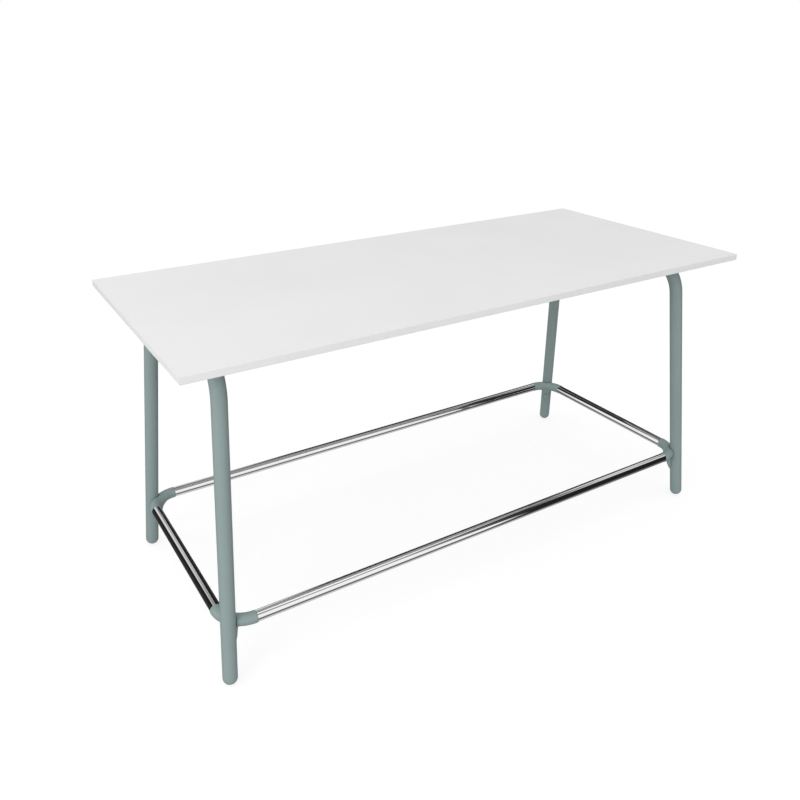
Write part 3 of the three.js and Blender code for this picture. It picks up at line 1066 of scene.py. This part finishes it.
@dataclass(frozen=True)
class ElbowCasting:
    """Cast corner of the foot ring, made from a distance field in the elbow's own frame.

    The leg's line goes through the origin, and +X points inwards along the table's diagonal.
    """

    leg_radius: float
    leg_lean: float
    arm_radius: float
    corner_offset: float
    bend_radius: float = 0.078
    arm_straight: float = 0.002
    rim_round: float = 0.0016
    saddle_gap: float = 0.0003
    saddle_round: float = 0.010
    saddle_least_share: float = 0.1
    spigot_radius: float = 0.0136
    spigot_length: float = 0.040
    wedge_drop: float = 0.060
    wedge_half_width: float = 0.0125
    wedge_tip_length: float = 0.028
    wedge_proud: float = 0.018
    wedge_tip_proud: float = 0.0008
    wedge_belly: float = 0.002
    wedge_round: float = 0.010
    cast_fillet: float = 0.019
    screw_drop: float = 0.013
    screw_seat: float = 0.0235
    screw_hole: float = 0.0048
    voxel: float = 0.0008
    margin_voxels: int = 3

    @property
    def bend_centre(self) -> float:
        """Distance along the diagonal from the leg's line to the centre of the bend."""
        return DIAGONAL * self.bend_radius - self.corner_offset

    @property
    def wedge_top(self) -> float:
        """Height of the arms' underside, from which the wedge goes down."""
        return -self.arm_radius

    @property
    def room(self) -> Box:
        """Box that holds the whole casting with a margin.

        Returns:
            Its low and high corners.
        """
        margin = self.margin_voxels * self.voxel
        arm_end = self.arm_straight + self.spigot_length
        reach = SLANT * (self.bend_radius + arm_end) + self.arm_radius
        far = self.bend_centre - SLANT * (self.bend_radius - arm_end) + self.arm_radius
        low = Vector((0.0, -reach - margin, self.wedge_top - self.wedge_drop - margin))
        high = Vector((far + margin, reach + margin, self.arm_radius + margin))
        return low, high

    def arms(self, model: NodeModel, across: Signal, x: Signal, z: Signal) -> tuple[Signal, Signal, Signal]:
        """Field of the bend and its two straight ends.

        Args:
            model: the tree.
            across: distance from the diagonal's upright plane.
            x: place along the diagonal.
            z: height over the rails' middle.

        Returns:
            Distance to the arms' skin, distance to their line, and place along an arm from its bend.
        """
        bend, radius, centre = model.sizes(self, "bend_radius", "arm_radius", "bend_centre")
        from_centre = x - centre
        along = SLANT * (from_centre + across)
        aside = SLANT * (across - from_centre) - bend
        straight = along.over(0.0)
        sideways = straight * aside + (1 - straight) * (model.graph.length(from_centre, across) - bend)
        to_line = model.graph.length(sideways, z)
        return to_line - radius, to_line, along

    def wedge(self, model: NodeModel, across: Signal, x: Signal, z: Signal) -> tuple[Signal, Signal]:
        """Field of the wedge that runs out down the leg, under the bend.

        Args:
            model: the tree.
            across: distance from the diagonal's upright plane.
            x: place along the diagonal.
            z: height over the rails' middle.

        Returns:
            Distance to the wedge's skin, and the height up it, from 0 at its tip to 1 under the arms.
        """
        top, drop, half_width, tip_length = model.sizes(
            self, "wedge_top", "wedge_drop", "wedge_half_width", "wedge_tip_length"
        )
        proud, tip_proud, belly, rounding = model.sizes(
            self, "wedge_proud", "wedge_tip_proud", "wedge_belly", "wedge_round"
        )
        leg_skin = self.leg_radius * math.hypot(1, self.leg_lean)
        share = (z - top) / drop + 1.0
        height = tip_proud + share * (proud - tip_proud) + 4 * belly * share * (1 - share)
        face = x - (leg_skin + self.leg_lean * z) - height
        below = (top - drop + tip_length - z).most(0.0)
        outline = half_width * (model.graph.length(across / half_width, below / tip_length) - 1)
        return face.most(outline, rounding).most(z), share

    def field(self, model: NodeModel) -> Signal:
        """Distance to the casting's skin, below zero inside it.

        Args:
            model: the tree.

        Returns:
            The field.
        """
        graph = model.graph
        x, y, z = graph.axes(graph.add("GeometryNodeInputPosition"))
        across = abs(y)
        arm_skin, to_line, along = self.arms(model, across, x, z)
        fillet, saddle = model.sizes(self, "cast_fillet", "saddle_round")
        wedge, share = self.wedge(model, across, x, z)
        body = arm_skin.least(wedge, fillet)
        body = body.most(along - self.arm_straight, self.rim_round)
        spigot = (to_line - self.spigot_radius).most(along - self.arm_straight - self.spigot_length)
        body = body.least(spigot.most(-along))
        steady = math.hypot(1, self.leg_lean)
        off_leg = graph.length((x - self.leg_lean * z) / steady, y)
        groove = saddle * share.most(self.saddle_least_share).least(1.0)
        body = body.most(self.leg_radius + self.saddle_gap - off_leg, groove)
        drop = self.wedge_top - self.screw_drop
        inward, upward = x - self.leg_lean * drop, z - drop
        depth = (inward - self.leg_lean * upward) / steady
        hole = graph.length((upward + self.leg_lean * inward) / steady, y) - self.screw_hole
        return body.most(-hole.most(self.screw_seat - depth), self.rim_round)

    def mesh(self, finish: Finish) -> bpy.types.Mesh:
        """Makes the casting's mesh.

        Args:
            finish: finish of its surface.

        Returns:
            The mesh, in the elbow's own frame.
        """
        model = NodeModel("elbow_casting")
        low, high = self.room
        sockets = {"Density": -self.field(model), "Background": -self.arm_radius, "Min": low, "Max": high}
        for name, size in zip("XYZ", high - low):
            sockets[f"Resolution {name}"] = math.ceil(size / self.voxel)
        cloud = model.graph.add("GeometryNodeVolumeCube", None, sockets)
        skinned = {"Volume": cloud, "Threshold": 0.0}
        model.give(model.graph.add("GeometryNodeVolumeToMesh", {"resolution_mode": "GRID"}, skinned), finish)
        return model.mesh(wire([], joined=False))


@dataclass(frozen=True)
class FootRing:
    """The chrome foot rails and the cast elbows that join them to the legs."""

    stance: LegStance
    rail_height: float = 0.175
    rail_radius: float = 0.0159
    rail_wall: float = 0.002
    rail_outset: float = 0.0055
    rail_end_round: float = 0.0004
    elbow_lip: float = 0.0012
    elbow_crease: float = 60.0
    facets: int = 128

    def casting(self) -> ElbowCasting:
        """The elbow with the sizes that follow from the legs and the rails."""
        return ElbowCasting(
            leg_radius=self.stance.tube_radius,
            leg_lean=self.stance.lean * DIAGONAL,
            arm_radius=self.rail_radius + self.elbow_lip,
            corner_offset=self.rail_outset * DIAGONAL,
        )

    def elbows(self) -> None:
        """Makes the four elbows from one mesh."""
        shape = self.casting().mesh(SAGE_PAINT)
        for corner in Corner:
            turn = Matrix.Rotation(math.atan2(-corner.side_y, -corner.side_x), 4, "Z")
            mesh = shape.copy()
            mesh.transform(Matrix.Translation(self.stance.at(self.rail_height, corner)) @ turn)
            name, nodes = f"cast_elbow_{corner.label}", [f"elbow_{corner.label}"]
            install(name, mesh, SAGE_PAINT, nodes, crease=self.elbow_crease)

    def rail(self, side: Side) -> None:
        """Makes one rail as a tube with eased ends.

        Args:
            side: side of the table that it lies on.
        """
        node, along = f"{side.label}_foot_rail", side.along
        low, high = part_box(node)
        half = (high - low)[along.value] / 2
        bore = self.rail_radius - self.rail_wall
        end = [(bore, half), *eased(self.rail_radius, half, self.rail_end_round)]
        profile = end + [(radius, -height) for radius, height in reversed(end)]
        mesh = turned(profile, self.facets, closed=True)
        mesh.transform(aimed((low + high) / 2, Vector(along.numbers(1.0, 0.0))))
        finish = ChromePlate(f"chrome_plate_{along.label}", along)
        install(f"{side.label}_chrome_rail", mesh, finish, [node])

    def build(self) -> None:
        """Makes the elbows and the rails."""
        self.elbows()
        for side in Side:
            self.rail(side)


@dataclass(frozen=True)
class LevellingFeet:
    """The dome feet, their threaded studs and the plugs that these screw into.

    Each mesh is made with the dome's centre at the origin and the leg upwards.
    """

    stance: LegStance
    rim: float = 0.003
    rim_chamfer: float = 0.0008
    stud_radius: float = 0.005
    stud_bottom: float = -0.009
    stud_top: float = 0.0343
    stud_chamfer: float = 0.001
    thread_pitch: float = 0.0015
    thread_depth: float = 0.0009
    thread_flank: float = 1.25
    thread_steps: int = 8
    hole_gap: float = 0.0003
    plug_bottom: float = 0.0033
    plug_top: float = 0.0283
    plug_radius: float = 0.0177
    plug_rib: float = 0.0004
    plug_ribs: int = 4
    rib_crest: float = 0.45
    rib_foot: float = 0.75
    facets: int = 96
    stud_facets: int = 48
    dome_steps: int = 32

    def dome(self) -> bpy.types.Mesh:
        """Makes one dome.

        Returns:
            Its mesh.
        """
        radius, hole = self.stance.tube_radius, self.stud_radius + self.hole_gap
        hole_bottom = self.stud_bottom - self.hole_gap
        profile = arc((0.0, 0.0), radius, -90, 0, self.dome_steps)
        profile += reversed(eased(radius, self.rim, self.rim_chamfer))
        profile += [(hole, self.rim), (hole, hole_bottom), (0.0, hole_bottom)]
        return turned(profile, self.facets)

    def stud(self) -> bpy.types.Mesh:
        """Makes one stud with its thread.

        Returns:
            Its mesh.
        """
        step = self.thread_pitch / self.thread_steps
        count = round((self.stud_top - self.stud_bottom) / step)
        heights = [self.stud_bottom + step * number for number in range(count + 1)]

        def thread(number: int, angle: float) -> float:
            """Share of the radius that the thread and the chamfers leave.

            Args:
                number: the ring's number in the profile, whose first and last rings are poles.
                angle: angle round the stud.

            Returns:
                The share.
            """
            ring = number - 1
            if not 0 <= ring <= count:
                return 1.0
            turn = (heights[ring] / self.thread_pitch - angle / (2 * math.pi)) % 1
            groove = self.thread_depth * min(1.0, self.thread_flank * abs(2 * turn - 1))
            chamfer = self.stud_chamfer - min(ring, count - ring) * step
            return 1 - max(groove, chamfer) / self.stud_radius

        side = [(self.stud_radius, height) for height in heights]
        profile = [(0.0, heights[0]), *side, (0.0, heights[-1])]
        return turned(profile, self.stud_facets, swell=thread)

    def plug(self) -> bpy.types.Mesh:
        """Makes one plug with its grip ribs.

        Returns:
            Its mesh.
        """
        bore, root = self.stud_radius + self.hole_gap, self.plug_radius - self.plug_rib
        pitch = (self.plug_top - self.plug_bottom) / self.plug_ribs
        profile = [(bore, self.plug_bottom)]
        for number in range(self.plug_ribs):
            start = self.plug_bottom + number * pitch
            profile += [
                (self.plug_radius, start),
                (self.plug_radius, start + self.rib_crest * pitch),
                (root, start + self.rib_foot * pitch),
            ]
        profile += [(root, self.plug_top), (bore, self.plug_top)]
        return turned(profile, self.facets, closed=True)

    def build(self) -> None:
        """Makes the feet, studs and plugs of the four corners."""
        dome, stud, plug = self.dome(), self.stud(), self.plug()
        for corner in Corner:
            place = aimed(self.stance.foot_centre(corner), self.stance.up(corner))
            foot_body = f"foot_{corner.label}"
            for name, shape, finish, slot, node, body in (
                ("round_foot", dome, SAGE_PLASTIC, Slot.FOOT, "dome_foot", foot_body),
                ("threaded_stud", stud, ZINC, Slot.ZINC, "levelling_stud", foot_body),
                ("ribbed_plug", plug, PLUG_PLASTIC, Slot.PLUG, "leg_plug", FRAME_BODY),
            ):
                mesh = shape.copy()
                mesh.transform(place)
                install(f"{name}_{corner.label}", mesh, finish, [f"{node}_{corner.label}"], body)


@dataclass(frozen=True)
class Screw:
    """A screw with a rounded head and a six-lobed socket, head at the origin and shank along +Z."""

    head_radius: float
    head_height: float
    shank_radius: float
    length: float
    crown: float = 0.0008
    crown_line: tuple[Point, ...] = ((0.8, 0.25), (0.94, 1.0), (1.0, 2.0))
    socket_depth: float = 0.002
    socket_share: float = 0.48
    socket_land: float = 1.25
    lobes: int = 6
    lobe: float = 0.12
    tip_share: float = 0.3
    facets: int = 36

    def mesh(self) -> bpy.types.Mesh:
        """Makes the screw's mesh.

        Returns:
            The mesh, from the top of the head at zero to the tip.
        """
        socket = self.socket_share * self.head_radius
        profile = [
            (0.0, self.socket_depth),
            (socket, self.socket_depth),
            (socket, 0.0),
            (self.socket_land * socket, 0.0),
            *((across * self.head_radius, down * self.crown) for across, down in self.crown_line),
            (self.head_radius, self.head_height),
            (self.shank_radius, self.head_height),
            (self.shank_radius, self.length - self.shank_radius),
            (self.tip_share * self.shank_radius, self.length),
            (0.0, self.length),
        ]

        def swell(number: int, angle: float) -> float:
            """Lobes on the two rings of the socket's wall, and none elsewhere."""
            return 1 + self.lobe * math.cos(self.lobes * angle) if number in (1, 2) else 1.0

        return turned(profile, self.facets, swell=swell)


@dataclass(frozen=True)
class ScrewSet:
    """Screws of one kind, set out by Geometry Nodes on points that face the way they are driven."""

    name: str
    screw: Screw
    finish: Finish
    slot: Slot

    def model(self, pattern: bpy.types.Object) -> NodeModel:
        """Tree that puts a screw on each point, turned to the point's own direction.

        Args:
            pattern: object of the screw.

        Returns:
            The tree.
        """
        model = NodeModel(f"{self.name}_pattern")
        add = model.graph.add
        screw, size = model.take("Screw", pattern), model.take("Size", 1.0)
        shape = add("GeometryNodeObjectInfo", None, {"Object": screw}, "Geometry")
        aim = add("GeometryNodeInputNamedAttribute", {"data_type": "FLOAT_VECTOR"}, {"Name": "aim"})
        turn = add("FunctionNodeAlignRotationToVector", {"axis": "Z"}, {"Vector": aim})
        sockets = {"Points": model.source, "Instance": shape, "Rotation": turn, "Scale": size}
        model.give(add("GeometryNodeInstanceOnPoints", None, sockets), self.finish)
        return model

    def build(self, places: Sequence[tuple[Vector, Vector]], nodes: Sequence[str]) -> None:
        """Makes the set as one piece.

        Args:
            places: top of each head, and the direction that its shank points in.
            nodes: names of the nodes that the set stands for.
        """
        points = wire([point for point, _ in places], joined=False)
        aim = points.attributes.new("aim", "FLOAT_VECTOR", "POINT")
        for entry, (_, direction) in zip(aim.data, places):
            entry.vector = direction
        pattern = bpy.data.objects.new(f"{self.name}_shape", self.screw.mesh())
        mesh = self.model(pattern).mesh(points)
        bpy.data.objects.remove(pattern)
        install(self.name, mesh, self.finish, nodes)


@dataclass(frozen=True)
class Underframe:
    """Box stringers, folded straps and the screws that hold them and the elbows."""

    stance: LegStance
    ring: FootRing
    stringer_wall: float = 0.002
    stringer_corner: float = 0.003
    stringer_bore_corner: float = 0.0014
    stringer_steps: int = 5
    strap_gap: float = 0.0003
    strap_thickness: float = 0.003
    strap_outer_ear: float = 0.032
    strap_inner_reach: float = 0.1005
    strap_softening: float = 0.0004
    strap_steps: int = 40
    top_screw_head: float = 0.005
    top_screw_head_height: float = 0.0032
    elbow_screw_head: float = 0.0045
    elbow_screw_head_height: float = 0.008
    elbow_screw_bite: float = 0.010
    elbow_screw_seat: float = 0.0241
    screw_shank: float = 0.0025

    def stringer(self, side: Side) -> None:
        """Makes one stringer: a box tube along the table.

        Args:
            side: side of the table that it lies on.
        """
        node = f"{side.label}_stringer"
        low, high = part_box(node)
        middle, size = (low + high) / 2, high - low
        corners = ((0.0, self.stringer_corner), (self.stringer_wall, self.stringer_bore_corner))
        outside, bore = (
            rounded_rectangle(size.y - 2 * inset, size.z - 2 * inset, radius, self.stringer_steps)
            for inset, radius in corners
        )
        rings = [
            [Vector((end, middle.y + u, middle.z + v)) for u, v in outline]
            for end, outline in ((low.x, outside), (high.x, outside), (high.x, bore), (low.x, bore))
        ]
        install(f"{side.label}_box_stringer", skin(rings, closed=True), SAGE_PAINT, [node])

    def strap_outline(self, ear_top: float, tongue_top: float) -> list[Point]:
        """Side view of a strap, from the run's centre, with its ear towards the table's end.

        Args:
            ear_top: height of the ear's upper face.
            tongue_top: height of the upper face of the tongue under the stringer.

        Returns:
            The outline's points.
        """
        inner = self.stance.tube_radius + self.strap_gap
        outer = inner + self.strap_thickness
        tongue_bottom = tongue_top - self.strap_thickness
        inner_end = 180 + math.degrees(math.asin(-tongue_top / inner))
        outer_end = 180 + math.degrees(math.asin(-tongue_bottom / outer))
        ear_end, ear_bottom = outer + self.strap_outer_ear, ear_top - self.strap_thickness
        return [
            (ear_end, ear_top),
            (inner, ear_top),
            *arc((0.0, 0.0), inner, 360, inner_end, self.strap_steps),
            (-self.strap_inner_reach, tongue_top),
            (-self.strap_inner_reach, tongue_bottom),
            *arc((0.0, 0.0), outer, outer_end, 360, self.strap_steps),
            (outer, ear_bottom),
            (ear_end, ear_bottom),
        ]

    def strap(self, corner: Corner) -> None:
        """Makes one strap, hooked under the hoop's run.

        Args:
            corner: the corner that it holds.
        """
        node = f"saddle_strap_{corner.label}"
        low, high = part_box(node)
        shoulder = self.stance.shoulder()
        stringer_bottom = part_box("front_stringer")[0].z
        outline = self.strap_outline(high.z - shoulder.z, stringer_bottom - self.strap_gap - shoulder.z)
        rings = [
            [Vector((corner.side_x * (shoulder.x + u), y, shoulder.z + v)) for u, v in outline]
            for y in (low.y, high.y)
        ]
        mesh = softened(skin(rings), self.strap_softening)
        install(f"folded_strap_{corner.label}", mesh, ZINC, [node])

    def upright_screws(self, name: str, nodes: Sequence[str]) -> None:
        """Makes screws that are driven straight up, as long as the first of their nodes.

        Args:
            name: the set's name.
            nodes: names of the screws' nodes.
        """
        low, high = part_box(nodes[0])
        screw = Screw(self.top_screw_head, self.top_screw_head_height, self.screw_shank, high.z - low.z)
        places = []
        for node in nodes:
            low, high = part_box(node)
            middle = (low + high) / 2
            places.append((Vector((middle.x, middle.y, low.z)), Vector((0, 0, 1))))
        ScrewSet(name, screw, ZINC, Slot.ZINC).build(places, nodes)

    def elbow_screws(self) -> None:
        """Makes the painted screws that hold the elbows to the legs."""
        casting, head = self.ring.casting(), self.elbow_screw_head_height
        screw = Screw(self.elbow_screw_head, head, self.screw_shank, head + self.elbow_screw_bite)
        height = self.ring.rail_height + casting.wedge_top - casting.screw_drop
        places = []
        for corner in Corner:
            up = self.stance.up(corner)
            level = Vector((up.x, up.y, 0.0))
            inward = (level - up * level.dot(up)).normalized()
            top = self.stance.at(height, corner) + inward * (self.elbow_screw_seat + head)
            places.append((top, -inward))
        nodes = [f"elbow_screw_{corner.label}" for corner in Corner]
        ScrewSet("elbow_fixing_screws", screw, SAGE_PAINT, Slot.PAINT).build(places, nodes)

    def build(self) -> None:
        """Makes the stringers, straps and screws."""
        sides = (Side.FRONT, Side.BACK)
        for side in sides:
            self.stringer(side)
        for corner in Corner:
            self.strap(corner)
        for name, numbers in (("stringer_end_screws", (1, 4)), ("stringer_middle_screws", (2, 3))):
            nodes = [f"stringer_screw_{side.label}_{number}" for side in sides for number in numbers]
            self.upright_screws(name, nodes)
        self.upright_screws("strap_ear_screws", [f"strap_screw_{corner.label}" for corner in Corner])
        self.elbow_screws()


@dataclass(frozen=True)
class Softbox:
    """A bright part of the studio's surround, as polished metal sees it. Angles are in degrees."""

    azimuth: float
    half_width: float
    elevation: float
    half_height: float
    level: float
    softness: float = 3.0
    fade: float = 3.0

    def glow(self, graph: NodeGraph, x: Signal, y: Signal, rise: Signal) -> Signal:
        """Light of the box in a direction.

        Args:
            graph: tree of the surround.
            x: the direction's share along X.
            y: the direction's share along Y.
            rise: its elevation, in degrees.

        Returns:
            The level inside the box, falling to zero at its edges.
        """
        turn = math.radians(self.azimuth)
        ahead = math.sin(turn) * x + math.cos(turn) * y
        aside = math.cos(turn) * x - math.sin(turn) * y
        sideways = abs(graph.maths("ARCTAN2", aside, ahead)) * math.degrees(1)
        lift = abs(rise - self.elevation)
        wide = sideways.ramp(self.half_width + self.softness / 2, self.half_width - self.softness / 2)
        tall = lift.ramp(self.half_height + self.fade / 2, self.half_height - self.fade / 2)
        return self.level * wide * tall


@dataclass(frozen=True)
class Studio:
    """Pale floor, soft light, the surround that the chrome reflects, and the camera."""

    floor_radius: float = 40.0
    floor_segments: int = 64
    floor_albedo: float = 0.52
    floor_seen_albedo: float = 0.25
    floor_glow: float = 0.78
    floor_fade: Point = (2.5, 8.0)
    ambient: float = 0.94
    ambient_tilt: Triple = (-0.30, -0.20, 0.06)
    key_place: Triple = (-3.7, -2.0, 1.9)
    key_size: float = 1.6
    key_power: float = 32.0
    dark: float = 0.016
    softboxes: tuple[Softbox, ...] = (
        Softbox(229, 82.8, 19, 22, 1.0),
        Softbox(229, 82.8, -6, 12, 1.0, fade=20),
        Softbox(-2.5, 21.2, 14.5, 17.5, 0.76),
        Softbox(-2.5, 21.2, 30, 10.4, 0.76, fade=12),
        Softbox(-37, 16, -6, 12, 0.036, softness=10, fade=14),
        Softbox(84, 34, 39, 11, 0.72),
        Softbox(118, 28, 74, 17, 1.1, softness=6, fade=6),
        Softbox(56, 36, 64, 16, 0.27, softness=16, fade=12),
        Softbox(150, 14, 50, 14, 0.34, softness=10, fade=10),
        Softbox(0, 200, -37, 9, 0.12, fade=10),
        Softbox(0, 200, -69, 21, 0.64, fade=24),
    )
    camera_place: Triple = (-1.27776, -1.86784, 1.55873)
    camera_yaw: float = 31.96
    camera_pitch: float = -25.97
    camera_lens: float = 34.62
    sensor: float = 36.0

    def camera(self) -> None:
        """Sets up the camera at the photograph's viewing angle."""
        data = bpy.data.cameras.new("camera")
        data.sensor_width = self.sensor
        data.lens = self.camera_lens
        camera = linked("camera", data)
        camera.location = self.camera_place
        camera.rotation_euler = (math.radians(90 + self.camera_pitch), 0.0, math.radians(-self.camera_yaw))
        bpy.context.scene.camera = camera

    def floor(self) -> None:
        """Makes the floor: white to the camera, pale to everything else, with the table's shadow on it."""
        made = bmesh.new()
        bmesh.ops.create_circle(made, cap_ends=True, segments=self.floor_segments, radius=self.floor_radius)
        mesh = bpy.data.meshes.new("studio_floor")
        made.to_mesh(mesh)
        made.free()
        material = bpy.data.materials.new("studio_floor")
        graph = NodeGraph.fresh(material)
        seen = graph.add("ShaderNodeLightPath", output="Is Camera Ray")
        x, y, _ = graph.axes(graph.place())
        far = graph.length(x, y).ramp(*self.floor_fade)
        albedo = self.floor_albedo + (self.floor_seen_albedo - self.floor_albedo) * seen
        matt = graph.add("ShaderNodeBsdfDiffuse", None, {"Color": albedo * (1 - far * seen)})
        glow = seen * (self.floor_glow + (1 - self.floor_glow) * far)
        lit = graph.add("ShaderNodeEmission", None, {"Strength": glow})
        both = graph.add("ShaderNodeAddShader", None, {0: matt, 1: lit})
        graph.add("ShaderNodeOutputMaterial", None, {"Surface": both})
        mesh.materials.append(material)
        floor = linked("studio_floor", mesh)
        floor.visible_glossy = False

    def surround(self) -> None:
        """Makes the world: white to the camera, even to matt surfaces, softboxes to polished ones."""
        world = bpy.data.worlds.new("studio")
        graph = NodeGraph.fresh(world)
        x, y, z = graph.axes(graph.add("ShaderNodeTexCoord", output="Generated"))
        rise = graph.maths("ARCSINE", z) * math.degrees(1)
        glow = self.softboxes[0].glow(graph, x, y, rise)
        for softbox in self.softboxes[1:]:
            glow = glow.most(softbox.glow(graph, x, y, rise))
        seen = graph.add("ShaderNodeLightPath", output="Is Camera Ray")
        mirrored = seen.beside("Is Glossy Ray").most(seen.beside("Is Transmission Ray"))
        tilt_x, tilt_y, tilt_z = self.ambient_tilt
        even = self.ambient + tilt_x * x + tilt_y * y + tilt_z * z
        level = mirrored * glow.most(self.dark) + (1 - mirrored) * even
        sockets = {"Color": (1, 1, 1, 1), "Strength": seen.most(level)}
        back = graph.add("ShaderNodeBackground", None, sockets)
        graph.add("ShaderNodeOutputWorld", None, {"Surface": back})
        bpy.context.scene.world = world
        LOG.info("surround with %d softboxes", len(self.softboxes))

    def key(self) -> None:
        """Hangs the soft key light at the front left."""
        data = bpy.data.lights.new("key", "AREA")
        data.shape = "DISK"
        data.size = self.key_size
        data.energy = self.key_power
        lamp = linked("key", data)
        lamp.matrix_world = aimed(Vector(self.key_place), Vector(self.key_place))
        lamp.visible_glossy = False

    def build(self) -> None:
        """Sets up the whole studio."""
        self.camera()
        self.floor()
        self.surround()
        self.key()
        bpy.context.scene.view_settings.view_transform = "Standard"


def main() -> None:
    """Builds the studio and the table's sub-assemblies round the frame."""
    logging.basicConfig(level=logging.INFO, format="%(name)s: %(message)s")
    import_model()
    Studio().build()
    stance = LegStance()
    ring = FootRing(stance)
    for assembly in (Tabletop(), EndHoops(stance), ring, LevellingFeet(stance), Underframe(stance, ring)):
        assembly.build()


if __name__ == "__main__":
    main()
